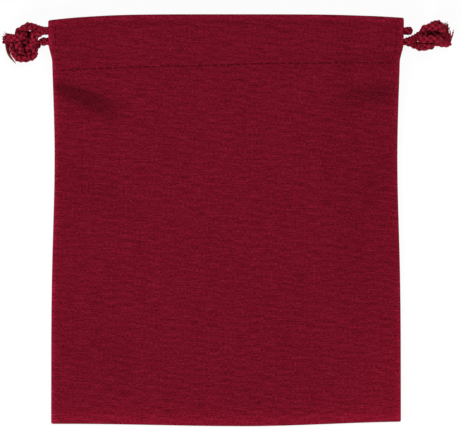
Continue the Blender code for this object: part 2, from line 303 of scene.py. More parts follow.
def add_node(tree, kind, values=(), links=(), **options):
    """Adds a node with its options, socket values and incoming links."""
    node = tree.nodes.new(kind)
    for name, value in options.items():
        setattr(node, name, value)
    for socket, value in values:
        node.inputs[socket].default_value = value
    for socket, source in links:
        tree.links.new(source, node.inputs[socket])
    return node


def new_material(name, **sockets):
    """A material with its shader's values, given by the names of the sockets."""
    material = bpy.data.materials.new(name)
    material.use_nodes = True
    shader = material.node_tree.nodes["Principled BSDF"]
    for socket, value in sockets.items():
        shader.inputs[socket.replace("_", " ")].default_value = value
    return material, material.node_tree, shader


def colours_by_height(tree, height, low, middle, high, stops):
    """A ramp from the hollows' colour to the tops' colour."""
    ramp = add_node(tree, "ShaderNodeValToRGB", links=[("Fac", height)])
    ramp.color_ramp.elements.new(0.5)
    for element, position, shade in zip(ramp.color_ramp.elements, stops, (low, middle, high)):
        element.position = position
        element.color = (*shade, 1)
    return ramp


PAINTED_LIGHT_SHARE = 0.34  # how much the painted light lightens the edges, and how much the painted shade darkens creases
SLUB, GRAIN = (0.14, 1.6), (0.85, 1.7)  # repeats in the width of a rib, across the cloth and along it
CLOUD = 1 / 55  # uneven dyeing, in soft patches about 18 mm across
TWIST_PITCH = 0.0025  # between two bands of tightly twisted weft, which slant a little
TWIST_TILT = math.radians(-8)
RIB_BUMP = 0.00012  # height of the grain
FIBRE, FIBRE_BUMP = 1 / 5200, 0.00008  # size of the yarn's specks, and their height


def crepe_material(finish):
    """Dyed crepe, woven from tightly twisted yarn and washed, so that it shrinks into fine cross ribs.

    The eye gets a dull, pebbly crimson without a highlight, with light painted into its colour along the
    edges and shade painted into its creases and between the cords. The threads, about 0.1 mm apart, are too
    fine to show: the grain is drawn at the ribs' size.
    """
    material, tree, shader = new_material(
        "dyed_crepe_cloth", Roughness=0.9, Sheen_Weight=0.04, Sheen_Roughness=0.4, Specular_IOR_Level=0.05
    )
    shader.inputs["Sheen Tint"].default_value = (*finish.fuzz_colour, 1)
    run = add_node(tree, "ShaderNodeUVMap", uv_map="cloth_run")
    rib = 1 / finish.rib_pitch
    slub_map, grain_map = (
        add_node(
            tree, "ShaderNodeMapping", values=[("Scale", (rib * across, rib * along, 1))],
            links=[("Vector", run.outputs["UV"])],
        )
        for across, along in (SLUB, GRAIN)
    )
    slub = add_node(
        tree, "ShaderNodeTexNoise", values=[("Scale", 1.0), ("Detail", 3.0), ("Roughness", 0.55)],
        links=[("Vector", slub_map.outputs["Vector"])],
    )
    grain = add_node(
        tree, "ShaderNodeTexNoise", values=[("Scale", 1.0), ("Detail", 2.0), ("Roughness", 0.6)],
        links=[("Vector", grain_map.outputs["Vector"])],
    )
    cloud = add_node(
        tree, "ShaderNodeTexNoise", values=[("Scale", 1 / CLOUD), ("Detail", 2.0)],
        links=[("Vector", run.outputs["UV"])],
    )
    twist_map = add_node(
        tree, "ShaderNodeMapping", values=[("Rotation", (0, 0, TWIST_TILT))],
        links=[("Vector", run.outputs["UV"])],
    )
    # A wave node repeats every pi / 10 at a scale of 1
    twist = add_node(
        tree, "ShaderNodeTexWave", bands_direction="Y",
        values=[
            ("Scale", math.pi / 10 / TWIST_PITCH), ("Distortion", 7.0),
            ("Detail", 2.0), ("Detail Scale", 1.2),
        ],
        links=[("Vector", twist_map.outputs["Vector"])],
    )
    specks = add_node(
        tree, "ShaderNodeMix", values=[("Factor", 0.62)],
        links=[("A", slub.outputs["Fac"]), ("B", grain.outputs["Fac"])],
    )
    ribs = add_node(
        tree, "ShaderNodeMix", values=[("Factor", 0.04)],
        links=[("A", specks.outputs["Result"]), ("B", twist.outputs["Fac"])],
    )
    shading = add_node(
        tree, "ShaderNodeMix", values=[("Factor", 0.03)],
        links=[("A", ribs.outputs["Result"]), ("B", cloud.outputs["Fac"])],
    )
    ramp = colours_by_height(
        tree, shading.outputs["Result"], finish.crepe_shade, finish.crepe_colour, finish.crepe_light,
        (0.36, 0.5, 0.64),
    )
    # Painted light and shade: lighter along the edges, darker in the creases and between the cords
    tone = add_node(tree, "ShaderNodeAttribute", attribute_name="tone")
    share = add_node(
        tree, "ShaderNodeMath", operation="MULTIPLY_ADD", values=[(1, PAINTED_LIGHT_SHARE), (2, 1.0)],
        links=[(0, tone.outputs["Fac"])],
    )
    lit_and_shaded = add_node(
        tree, "ShaderNodeVectorMath", operation="SCALE",
        links=[(0, ramp.outputs["Color"]), ("Scale", share.outputs["Value"])],
    )
    bump = add_node(
        tree, "ShaderNodeBump", values=[("Strength", 0.45), ("Distance", RIB_BUMP)],
        links=[("Height", ribs.outputs["Result"])],
    )
    tree.links.new(lit_and_shaded.outputs["Vector"], shader.inputs["Base Color"])
    tree.links.new(bump.outputs["Normal"], shader.inputs["Normal"])
    return material


def yarn_material(name, finish, top, hollow, tip=None):
    """Spun yarn, dyed and twisted: soft and matt, with shade painted into it where it dips under its
    neighbours.

    Its fibres, about 0.02 mm thick, are too fine to show and are drawn ten times as coarse.
    """
    material, tree, shader = new_material(name, Roughness=0.85, Sheen_Weight=0.06, Specular_IOR_Level=0.08)
    shader.inputs["Sheen Tint"].default_value = (*finish.fuzz_colour, 1)
    place = add_node(tree, "ShaderNodeTexCoord")
    fibres = add_node(
        tree, "ShaderNodeTexNoise", values=[("Scale", 1 / FIBRE), ("Detail", 2.0)],
        links=[("Vector", place.outputs["Object"])],
    )
    # The lift carries painted shade: low where a yarn passes under others or lies deep in a knot
    lift = add_node(tree, "ShaderNodeAttribute", attribute_name="lift")
    height = add_node(
        tree, "ShaderNodeMix", values=[("Factor", 0.3)],
        links=[("A", lift.outputs["Fac"]), ("B", fibres.outputs["Fac"])],
    )
    between = tuple(mix(np.array(hollow), np.array(top), 0.6))
    ramp = colours_by_height(tree, height.outputs["Result"], hollow, between, tip or top, (0.25, 0.55, 0.82))
    bump = add_node(
        tree, "ShaderNodeBump", values=[("Strength", 0.5), ("Distance", FIBRE_BUMP)],
        links=[("Height", fibres.outputs["Fac"])],
    )
    tree.links.new(ramp.outputs["Color"], shader.inputs["Base Color"])
    tree.links.new(bump.outputs["Normal"], shader.inputs["Normal"])
    return material


# Cloth

# Creases of the front that the solid's soft folds don't have, which also get painted shade: middle X, middle
# Y, turn in degrees, half length, half width, height
CREASES = (
    (-0.0550, 0.0450, -20, 0.0115, 0.0026, -0.0011),
    (-0.0440, 0.0405, -20, 0.0090, 0.0044, -0.0007),
    (0.0520, 0.0440, 2, 0.0095, 0.0032, -0.0009),
    (-0.0440, 0.0110, -30, 0.0150, 0.0050, -0.00026),
    (-0.0430, -0.0430, -43, 0.0150, 0.0080, -0.00012),
    (0.0521, 0.0120, 55, 0.0150, 0.0055, -0.00020),
)
CREASE_SHADE_FULL, CREASE_SHADE_MOST = 0.00092, 1.25  # depth at which a crease has its full painted shade, and the most it gets
FOLD_DEPTH = 0.9  # the skin's soft folds go this share deeper than the solid's
FOLDS_TO_SEAM = 0.93  # and a little less near to the sides

# Soft wrinkles: their length across the bag and down it, share, and slice of the noise
WRINKLES = ((0.021, 0.012, 1, 2.7), (0.009, 0.0045, 0.45, 8.1))
WRINKLES_IN_CHANNEL = 0.35
MOUTH_CALM, BOTTOM_CALM, SIDE_CALM = 0.006, 0.008, 0.004  # from the edges to where folds are full
CHANNEL_CALM = (-0.004, 0.001)  # about the stitch line

# The cloth is drawn in between the two cords, most at the left, where shade is also painted into it
GROOVE, GROOVE_WIDTH = 0.00030, 0.0008
GROOVE_PLACE = 0.72  # of the cords' pitch, below the upper cord
GROOVE_LEAST, GROOVE_DEEPENS = 0.3, (0.030, 0.044)  # share of its depth elsewhere, and where it deepens
GROOVE_ENDS = (0.001, 0.005)  # from the side edges
# Darkness of the groove's painted shade, and its width
GROOVE_SHADE, GROOVE_SHADE_WIDTH = 0.55, 0.0003
GROOVE_SHADED = (0.034, 0.040, 0.054, 0.058)  # left of the middle, where the painted shade starts, is full and ends

# The stitch line pulls the cloth in: depth and width on the front and on the back
SEWN_DEPTH, SEWN_WIDTH, PUCKER = 0.00038, 0.0011, 0.25
SEWN_DEPTH_BACK, SEWN_WIDTH_BACK = 0.00022, 0.0009

# Painted light along the edges: strength, and how far in it is full and has gone
EDGE_LIGHT_BOTTOM, EDGE_LIGHT_ABOVE_BOTTOM = (0.6, 0.00252, 0.0042), (0.35, 0, 0.01176)
EDGE_LIGHT_MOUTH, EDGE_LIGHT_SIDE = (1.15, 0.0014, 0.0030), (0.25, 0.0010, 0.0045)
RIM_LIGHT_LEFT, RIM_LIGHT_RIGHT, RIM_LIGHT = 1.9, 1.15, (0.0003, 0.0019)
SIDE_REACH = 0.0003  # the turned edge stands out past the seam's line
LIGHTER_CORNER = 0.4  # lighter towards the lower right corner
LIGHTER_CORNER_X, LIGHTER_CORNER_Y = (0.020, 0.060), (0.015, 0.062)

# Rows of points along the strip and across it
CHANNEL_ROWS = (4, 8, 5, 6)  # hem below the stitches, up to the cords, past them, up to the fold
FRONT_ROWS, BACK_ROWS, FOLD_STEPS = 92, 60, 9
PANEL_COLUMNS = 112
ALLOWANCE_COLUMNS, ALLOWANCE_END, EDGE_COLUMNS = 6, 0.06, 8


def painted_edge_light(distance, strength, full, gone):
    """Painted light that is full up to one distance from an edge and gone at another."""
    return strength * (1 - ease(full, gone, distance))


class Strip:
    """The cloth strip as a grid of points, with what is needed to sew it."""

    def __init__(self, form, finish):
        self.form, self.finish = form, finish
        self.columns = self.across()
        profiles = [self.profile(np.float64(x)) for x, _ in self.columns]
        self.points = []
        for (x, depth), profile in zip(self.columns, profiles):
            placed = profile + self.inward(profile) * depth
            share = (abs(x) / form.s.half_width) ** 2
            shift = math.copysign(1, x) * form.side_shift(placed[:, 0]) * share
            self.points.append(np.column_stack([x + shift, placed]))
        self.points = np.array(self.points)

    def across(self):
        """(x, distance to the wrong side) over the strip's width."""
        s, radius = self.form.s, self.form.ply / 2
        edge = s.half_width - radius - s.cloth / 2
        turned_in = np.linspace(1, ALLOWANCE_END, ALLOWANCE_COLUMNS)
        half = [(edge - s.allowance * share, self.form.ply) for share in turned_in]
        for angle in np.linspace(math.pi, 0, EDGE_COLUMNS):
            half.append((edge + radius * math.sin(angle), radius * (1 - math.cos(angle))))
        half += [(edge * share, 0.0) for share in np.linspace(1, 0, PANEL_COLUMNS // 2 + 1)[1:-1]]
        return [(-x, d) for x, d in half] + [(0.0, 0.0)] + list(reversed(half))

    def turned(self, centre_y, centre_z, radius, start):
        """Half a turn of the cloth round a fold, without its two ends."""
        angles = start + np.linspace(0, math.pi, FOLD_STEPS + 2)[1:-1]
        return np.column_stack([centre_y + radius * np.cos(angles), centre_z + radius * np.sin(angles)])

    def groove_y(self):
        return self.form.top - self.form.s.cord_top - self.form.s.cord_pitch * GROOVE_PLACE

    def tone(self, x, y):
        """Painted light and shade on the front: above 0 where light is painted along its edges, below 0
        where shade is painted into its creases and between the cords.
        """
        form = self.form
        above, below = y - form.bottom_y(x), form.mouth_y(x) - y
        side = form.s.half_width + form.side_shift(y) + SIDE_REACH - abs(x)
        # Painted light along the bottom, the sides, the mouth and the side rims
        edge_light = painted_edge_light(above, *EDGE_LIGHT_BOTTOM) + painted_edge_light(above, *EDGE_LIGHT_ABOVE_BOTTOM)
        edge_light = edge_light + painted_edge_light(side, *EDGE_LIGHT_SIDE) + painted_edge_light(below, *EDGE_LIGHT_MOUTH)
        edge_light = edge_light + painted_edge_light(side, np.where(x < 0, RIM_LIGHT_LEFT, RIM_LIGHT_RIGHT), *RIM_LIGHT)
        corner = LIGHTER_CORNER * ease(*LIGHTER_CORNER_X, x) * ease(*LIGHTER_CORNER_Y, -y)
        # Painted shade in the creases
        crease_shade = np.clip(-dents(CREASES, x, y) / CREASE_SHADE_FULL, 0, CREASE_SHADE_MOST)
        # Painted shade in the groove between the two cords
        starts, full, fades, ends = GROOVE_SHADED
        groove = bell(y, self.groove_y(), GROOVE_SHADE_WIDTH) * ease(starts, full, -x) * ease(ends, fades, -x)
        return edge_light + corner - crease_shade - GROOVE_SHADE * groove

    def relief(self, x, y):
        """Wrinkles, creases and the pull of the stitch line, as a height on the front."""
        form, finish = self.form, self.finish
        stitch = form.stitch_y(x) + stitch_wander(x)
        from_side = form.s.half_width - abs(x)
        soft = sum(
            share * np.array([noise.noise(Vector((x / wide, v / tall, cut))) for v in y])
            for wide, tall, share, cut in WRINKLES
        )
        free = ease(0, MOUTH_CALM, form.mouth_y(x) - y) * ease(0, BOTTOM_CALM, y - form.bottom_y(x))
        in_channel = ease(*CHANNEL_CALM, y - stitch)
        wrinkles = finish.wrinkle * soft * free * mix(1, WRINKLES_IN_CHANNEL, in_channel)
        folds = dents(SOFT_FOLDS, x, y) * FOLD_DEPTH * free * form.openness(x * FOLDS_TO_SEAM)
        folds = (folds + dents(CREASES, x, y) * ease(0, SIDE_CALM, from_side)) * (1 - in_channel)
        deeper = mix(GROOVE_LEAST, 1, ease(*GROOVE_DEEPENS, -x)) * ease(*GROOVE_ENDS, from_side)
        groove = GROOVE * bell(y, self.groove_y(), GROOVE_WIDTH) * deeper
        pucker = 1 - PUCKER + PUCKER * np.cos(2 * math.pi * x / finish.stitch)
        sewn = SEWN_DEPTH * bell(y, stitch, SEWN_WIDTH) * pucker
        return wrinkles + folds - groove - sewn

    def profile(self, x):
        """(y, height) along the strip, from the front hem's raw edge to the back hem's."""
        form = self.form
        s = form.s
        radius = form.fold_radius(x)
        fold_y = form.mouth_y(x) - radius - s.cloth / 2
        base_y = form.bottom_y(x) + s.fold_radius + s.cloth / 2
        stitch = form.stitch_y(x)
        hem_end = stitch - s.hem_turn
        lower = form.top - s.cord_top - s.cord_pitch - s.cord / 2
        upper = form.mouth_y(x) - s.cord_top + s.cord * CORD_ROOM
        marks = (hem_end, stitch, lower, upper, fold_y)
        stretches = [np.linspace(a, b, rows)[:-1] for a, b, rows in zip(marks, marks[1:], CHANNEL_ROWS)]
        up = np.concatenate([*stretches, [fold_y]])
        down = up[::-1]
        front_rows = np.concatenate([down, np.linspace(hem_end, base_y, FRONT_ROWS)[1:]])
        back_rows = np.concatenate([np.linspace(base_y, hem_end, BACK_ROWS)[:-1], up])
        front = np.column_stack([front_rows, form.front(x, front_rows) + self.relief(x, front_rows)])
        hem = np.column_stack([up, form.front_hem(x, up)])
        mouth = self.turned(fold_y, form.front_hem(x, fold_y) + radius, radius, -math.pi / 2)
        bottom = self.turned(base_y, s.cloth / 2 + s.fold_radius, s.fold_radius, math.pi / 2)
        sewn = SEWN_DEPTH_BACK * bell(back_rows, stitch, SEWN_WIDTH_BACK)
        under = np.column_stack([back_rows, s.cloth / 2 + sewn])
        back_mouth = self.turned(fold_y, s.cloth / 2 + radius, radius, -math.pi / 2)
        back_hem = np.column_stack([down, form.back_hem(x, down)])
        return np.vstack([hem, mouth, front, bottom, under, back_mouth, back_hem])

    def inward(self, profile):
        """Directions to the strip's wrong side, as long as a mitre needs."""
        run = np.diff(profile, axis=0)
        run /= np.linalg.norm(run, axis=1)[:, None]
        left = np.stack([-run[:, 1], run[:, 0]], axis=1)
        before, after = np.vstack([left[:1], left]), np.vstack([left, left[-1:]])
        return (before + after) / (1 + (before * after).sum(axis=1))[:, None]

    def runs(self):
        """Distance across the strip of each column, and along it of each row."""
        middle_row, middle_column = self.points.shape[1] // 2, len(self.columns) // 2
        across = np.linalg.norm(np.diff(self.points[:, middle_row], axis=0), axis=1)
        along = np.linalg.norm(np.diff(self.points[middle_column], axis=0), axis=1)
        return np.concatenate([[0], np.cumsum(across)]), np.concatenate([[0], np.cumsum(along)])


STITCH_DROP = 0.00105  # the row runs this far below the line where the plies meet
STITCH_TILT_LEFT, STITCH_TILT_RIGHT, TILT_SPAN = 0.0012, 0.0013, 0.06  # drop and rise at the two sides
WANDER, WANDER_SHORT, WANDER_LONG, WANDER_START = 0.00015, 0.0075, 0.021, 1.1


def stitch_wander(x):
    """A hand-fed seam isn't quite straight, and runs lower at the left."""
    tilt = np.where(x < 0, STITCH_TILT_LEFT, STITCH_TILT_RIGHT) * x / TILT_SPAN
    return tilt - STITCH_DROP + WANDER * np.sin(x / WANDER_SHORT) * np.sin(x / WANDER_LONG + WANDER_START)


def link(obj, material):
    """Puts a finished piece in the scene, on the pouch's one body."""
    bpy.context.scene.collection.objects.link(obj)
    obj.data.materials.append(material)
    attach(obj, BODY)
    return obj


def only(obj):
    """Selects one object and nothing else."""
    bpy.ops.object.select_all(action="DESELECT")
    obj.select_set(True)
    bpy.context.view_layer.objects.active = obj


class POUCH_OT_cloth(bpy.types.Operator):
    """Makes the crepe strip, folded and hemmed as it lies"""

    bl_idname = "pouch.cloth"
    bl_label = "Crepe cloth"

    def execute(self, context):
        sizes, finish = settings()
        strip = Strip(Form(sizes), finish)
        columns, rows = strip.points.shape[:2]
        mesh = bpy.data.meshes.new("crepe_cloth")
        faces = [
            (c * rows + r, c * rows + r + 1, (c + 1) * rows + r + 1, (c + 1) * rows + r)
            for c in range(columns - 1)
            for r in range(rows - 1)
        ]
        mesh.from_pydata(strip.points.reshape(-1, 3), [], faces)
        across, along = strip.runs()
        cloth_run = mesh.uv_layers.new(name="cloth_run")
        corner = np.array([loop.vertex_index for loop in mesh.loops])
        places = np.column_stack([across[corner // rows], along[corner % rows]])
        cloth_run.data.foreach_set("uv", places.astype(np.float32).ravel())
        flat = strip.points.reshape(-1, 3)
        # Painted light and shade, which the crepe material reads
        tone = mesh.attributes.new("tone", "FLOAT", "POINT")
        tone.data.foreach_set("value", strip.tone(flat[:, 0], flat[:, 1]).astype(np.float32))
        mesh.shade_smooth()
        obj = link(bpy.data.objects.new("crepe_cloth", mesh), crepe_material(finish))
        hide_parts("pouch_cloth")
        only(obj)
        thick = obj.modifiers.new("Cloth", "SOLIDIFY")
        thick.thickness = sizes.cloth
        thick.offset = 0
        thick.use_even_offset = True
        bpy.ops.object.modifier_apply(modifier=thick.name)
        return {"FINISHED"}


# Stitching

# Stitches: share of the pitch that shows, share of it that runs straight, sides, and for each step of an
# end that dives into the cloth, its share of the length, its drop in thread sizes and its narrowing
STITCH_SHOWN, STITCH_STRAIGHT, STITCH_SIDES = 0.8, 0.5, 8
STITCH_ENDS = ((0.15, 0.35, 0.92), (0.10, 0.8, 0.7))
STITCH_FEEL = 0.0008  # on both sides of a stitch, where it feels the cloth's slope
STITCH_RISE = 0.25  # of its thickness, above the cloth
THREAD_LIFT = 0.7  # its place between the hollows' colour and the tops'
ROW_ENDS, SLIT_ENDS, SLIT_TOP = 0.002, 0.003, 0.0035  # cloth left free at the ends of the rows
SLIT_INSET = 0.0024  # side edge to the stitches that hold the slit's hem
UP, DOWN = Vector((0, 0, 1)), Vector((0, 0, -1))


def one_stitch(finish):
    """A short thread whose ends dive into the cloth, lying along X."""
    long, thick = finish.stitch * STITCH_SHOWN, finish.thread
    bpy.ops.object.select_all(action="DESELECT")
    bpy.ops.mesh.primitive_cylinder_add(
        vertices=STITCH_SIDES, radius=thick / 2, depth=long * STITCH_STRAIGHT,
        rotation=(0, math.pi / 2, 0), end_fill_type="NGON",
    )
    obj = bpy.context.object
    bpy.ops.object.transform_apply(location=True, rotation=True, scale=True)
    for end in (-1, 1):
        for out, drop, size in STITCH_ENDS:
            bpy.ops.object.mode_set(mode="EDIT")
            bpy.ops.mesh.select_all(action="DESELECT")
            bpy.ops.object.mode_set(mode="OBJECT")
            tip = max(obj.data.polygons, key=lambda face: face.center.x * end)
            tip.select = True
            bpy.ops.object.mode_set(mode="EDIT")
            bpy.ops.mesh.select_mode(type="FACE")
            bpy.ops.mesh.extrude_region_move(
                TRANSFORM_OT_translate={"value": (end * long * out, 0, -thick * drop)}
            )
            bpy.ops.transform.resize(value=(size, size, size))
            bpy.ops.object.mode_set(mode="OBJECT")
    bpy.ops.object.shade_smooth()
    return obj


def sew(name, places, finish, material):
    """Copies one stitch to each (middle, along, up) and joins them in one row."""
    pattern = one_stitch(finish)
    row = []
    for middle, along, up in places:
        along = along.normalized()
        side = up.cross(along).normalized()
        turn = Matrix((along, side, along.cross(side))).transposed().to_4x4()
        copy = bpy.data.objects.new(name, pattern.data.copy())
        copy.data.transform(Matrix.Translation(middle) @ turn)
        bpy.context.scene.collection.objects.link(copy)
        row.append(copy)
    bpy.data.objects.remove(pattern, do_unlink=True)
    only(row[0])
    for copy in row:
        copy.select_set(True)
    bpy.ops.object.join()
    obj = bpy.context.object
    obj.name = name
    bpy.context.scene.collection.objects.unlink(obj)
    lift = obj.data.attributes.new("lift", "FLOAT", "POINT")
    lift.data.foreach_set("value", np.full(len(obj.data.vertices), THREAD_LIFT, np.float32))
    return link(obj, material)


def on_front(strip, x, y, way):
    """How a stitch that runs that way lies on the front: its direction, and its middle's height."""
    near = [(x + k * STITCH_FEEL * way[0], y + k * STITCH_FEEL * way[1]) for k in (-1, 0, 1)]
    before, here, after = (
        float(strip.form.front(u, v) + strip.relief(u, np.array([v]))[0]) for u, v in near
    )
    along = Vector((2 * STITCH_FEEL * way[0], 2 * STITCH_FEEL * way[1], after - before))
    return along, here + strip.form.s.cloth / 2 + strip.finish.thread * STITCH_RISE


def channel_rows(strip):
    """Middle, direction and up of the stitches that close the front channel, and of the back one's."""
    form, finish = strip.form, strip.finish
    count = int(2 * (form.s.half_width - ROW_ENDS) / finish.stitch)
    front, back = [], []
    for k in range(count):
        x = np.float64((k - (count - 1) / 2) * finish.stitch)
        y = form.stitch_y(x) + stitch_wander(x)
        along, level = on_front(strip, x, y, (1, 0))
        front.append((Vector((x, y, level)), along, UP))
        back.append((Vector((x, y, finish.thread / 2)), Vector((1, 0, 0)), DOWN))
    return front, back


def slit_rows(strip, side):
    """The same for the stitches that hold the turned-in edges at one end of the channels."""
    form, finish = strip.form, strip.finish
    front, back = [], []
    for k in range(int((form.s.channel_depth - SLIT_ENDS) / finish.stitch)):
        y = form.top - SLIT_TOP - (k + 0.5) * finish.stitch
        x = side * np.float64(form.s.half_width - SLIT_INSET)
        along, level = on_front(strip, x, y, (0, 1))
        placed_x = float(x + side * form.side_shift(y) * (x / form.s.half_width) ** 2)
        front.append((Vector((placed_x, y, level)), along, UP))
        back.append((Vector((placed_x, y, finish.thread / 2)), Vector((0, 1, 0)), DOWN))
    return front, back


class POUCH_OT_stitching(bpy.types.Operator):
    """Sews the two channels and the slits at their ends"""

    bl_idname = "pouch.stitching"
    bl_label = "Stitching"

    def execute(self, context):
        sizes, finish = settings()
        strip = Strip(Form(sizes), finish)
        thread = yarn_material("spun_sewing_thread", finish, finish.thread_colour, finish.thread_shade)
        front, back = channel_rows(strip)
        rows = {"channel_stitching_front": front, "channel_stitching_back": back}
        for side, name in ((-1, "left"), (1, "right")):
            front, back = slit_rows(strip, side)
            rows["slit_stitching_front_" + name] = front
            rows["slit_stitching_back_" + name] = back
        sewn = [sew(name, places, finish, thread) for name, places in rows.items()]
        return {"FINISHED"}


# Cords

def evenly(points, count):
    """The same line with that many points, evenly spaced."""
    steps = np.linalg.norm(np.diff(points, axis=0), axis=1)
    run = np.concatenate([[0], np.cumsum(steps)])
    at = np.linspace(0, run[-1], count)
    return np.stack([np.interp(at, run, points[:, k]) for k in range(points.shape[1])], axis=1)


KNOT_RING, KNOT_WAVE, KNOT_RISE, KNOT_CUT = 2.6, 1.0, 1.24, 0.12  # the loose knot, in squeezed cord sizes
PULL_FIRST, PULL_LAST = 0.53, 0.03  # how hard each turn shortens the strands
PUSHES, PUSH = 6, 0.65  # in each turn, and the share of the crowding that one takes away


def loose_knot():
    """Two strands side by side in a loose overhand knot, its ends along Y, in squeezed cord sizes."""
    strands = []
    for side in (-1, 1):
        t = np.linspace(KNOT_CUT, 2 * math.pi - KNOT_CUT, 4 * CORD_POINTS)
        phase = 3 * t + side * math.pi / 4
        out = KNOT_RING + KNOT_WAVE * np.cos(phase)
        line = np.stack([out * np.cos(2 * t), out * np.sin(2 * t), KNOT_RISE * np.sin(phase)], axis=1)
        lead = np.array([0, KNOT_LEAD, 0])
        strands.append(evenly(np.vstack([line[0] - lead, line, line[-1] + lead]), CORD_POINTS))
    return strands


def tied_knot():
    """The loose knot drawn tight: each strand is shortened by turns, and strands push each other off."""
    strands = np.array(loose_knot())
    ends = strands[:, [0, -1]].copy()
    strand = np.repeat([0, 1], CORD_POINTS)
    place = np.tile(np.arange(CORD_POINTS), 2)
    for pull in range(KNOT_PULLS):
        share = mix(PULL_FIRST, PULL_LAST, pull / KNOT_PULLS)
        for line in strands:
            line[1:-1] += share * ((line[:-2] + line[2:]) / 2 - line[1:-1])
            line[:] = evenly(line, CORD_POINTS)
        spacing = np.linalg.norm(np.diff(strands, axis=1), axis=2).mean()
        beside = np.abs(place[:, None] - place[None]) * spacing < KNOT_BESIDE
        joined = (strand[:, None] == strand[None]) & beside
        for _ in range(PUSHES):
            points = strands.reshape(-1, 3)
            apart = points[:, None] - points[None]
            distance = np.linalg.norm(apart, axis=2) + np.eye(len(points))
            crowding = np.where(joined, 0, np.maximum(KNOT_SPACING - distance, 0))
            touching = np.maximum((crowding > 0).sum(axis=1), 1)
            push = (apart * (crowding / distance)[..., None]).sum(axis=1)
            strands += (push / touching[:, None] * PUSH).reshape(strands.shape)
            strands[:, [0, -1]] = ends
    return strands


def smooth_line(points, spacing):
    """A smooth curve through the points, with a point about every spacing."""
    padded = np.vstack([2 * points[0] - points[1], points, 2 * points[-1] - points[-2]])
    line = []
    for a, b, c, d in zip(padded, padded[1:], padded[2:], padded[3:]):
        count = max(1, round(float(np.linalg.norm((c - b)[:3])) / spacing))
        for k in range(count):
            t = k / count
            bend = (2 * a - 5 * b + 4 * c - d) * t**2 + (3 * b - a - 3 * c + d) * t**3
            line.append(b + ((c - a) * t + bend) / 2)
    line.append(points[-1])
    return np.array(line)


STOP_INSET = 0.1  # of the allowance, from a channel's end to a cord's last place in it
NECK = 0.3  # cord sizes past its seat, where a strand leaves its channel
BEND_ANGLES = (30, 60, 90, 120, 150)  # round the channels' far end
ROUTE_SPACING = 2.6  # cord sizes between the points of the route
SWELL = 0.002  # past the channel, over which the braid comes to its free size


def placed_knot(knot, size):
    """The knot's two strands where they lie, the upper one first, with their tails bent."""
    side, middle, turn, swing, squeeze, leans = knot
    c, sn = math.cos(math.radians(turn)), math.sin(math.radians(turn))
    swing_c, swing_s = math.cos(math.radians(swing)), math.sin(math.radians(swing))
    placed = []
    for strand in tied_knot()[:, 1:-1] * size * squeeze:
        along = strand[:, 1]
        across, up = strand[:, 0] * c - strand[:, 2] * sn, strand[:, 0] * sn + strand[:, 2] * c
        out, rise = along * swing_c + across * swing_s, across * swing_c - along * swing_s
        placed.append(np.stack([middle[0] + side * out, middle[1] + rise, middle[2] + up], axis=1))
    placed.sort(key=lambda strand: -strand[0][2])
    bent = np.linspace(0, 1, TAIL_POINTS) ** 2
    for strand, lean in zip(placed, leans):
        strand[-TAIL_POINTS:, :2] += bent[:, None] * np.array(lean)
    return placed


def cord_line(form, lane, knot, free_size):
    """The cord's middle line with its size at each point: tail, knot, front channel, back, knot, tail."""
    s = form.s
    side = knot[0]
    upper, lower = placed_knot(knot, s.cord)
    stops = np.linspace(-1, 1, CHANNEL_STOPS) * (s.half_width - s.allowance * STOP_INSET)
    front = [(-side * x, lane, float(form.front_cord(np.float64(side * x), lane))) for x in stops]
    back = [(-side * x, lane, float(form.back_cord(np.float64(side * x), lane))) for x in stops]
    out = side * (form.channel_end() + SEAT_GAP + s.cord * NECK)
    leaving, coming = (out, lane, front[0][2]), (out, lane, back[0][2])
    reach = SEAT_GAP + s.cord / 2 + BEND_SLACK
    middle_z, half = (front[-1][2] + back[-1][2]) / 2, (front[-1][2] - back[-1][2]) / 2
    bend = [
        (-side * (form.channel_end() + reach * math.sin(a)), lane, middle_z + half * math.cos(a))
        for a in np.radians(BEND_ANGLES)
    ]
    route = [*upper[1::-1], leaving, *front, *bend, *reversed(back), coming, *lower[:2]]
    run = smooth_line(np.array(route), s.cord * ROUTE_SPACING)
    line = np.vstack([upper[:1:-1], run, lower[2:]])
    past_end = ease(form.channel_end(), form.channel_end() + SWELL, np.abs(line[:, 0]))
    return np.column_stack([line, mix(1, free_size, past_end)])


ASKEW = (0.3, 0.5, 0.8)  # a direction that no cord or fibre starts along


def frames_along(line):
    """Two directions square to the line at each point, carried along without twist."""
    run = np.gradient(line, axis=0)
    run /= np.linalg.norm(run, axis=1)[:, None]
    first = np.cross(run[0], ASKEW)
    first /= np.linalg.norm(first)
    across = [first]
    for direction in run[1:]:
        carried = across[-1] - direction * across[-1].dot(direction)
        across.append(carried / np.linalg.norm(carried))
    across = np.array(across)
    return across, np.cross(run, across)


def tube(line, radius, sides):
    """Points and faces of a closed tube round a line, its radius given at each point."""
    across, up = frames_along(line)
    angles = np.linspace(0, 2 * math.pi, sides, endpoint=False)
    ring = across[:, None] * np.cos(angles)[None, :, None] + up[:, None] * np.sin(angles)[None, :, None]
    points = (line[:, None] + ring * radius[:, None, None]).reshape(-1, 3)
    faces = []
    for k in range(len(line) - 1):
        for a in range(sides):
            b = (a + 1) % sides
            faces.append((k * sides + a, k * sides + b, (k + 1) * sides + b, (k + 1) * sides + a))
    faces.append(tuple(reversed(range(sides))))
    faces.append(tuple(range((len(line) - 1) * sides, len(line) * sides)))
    return points, faces


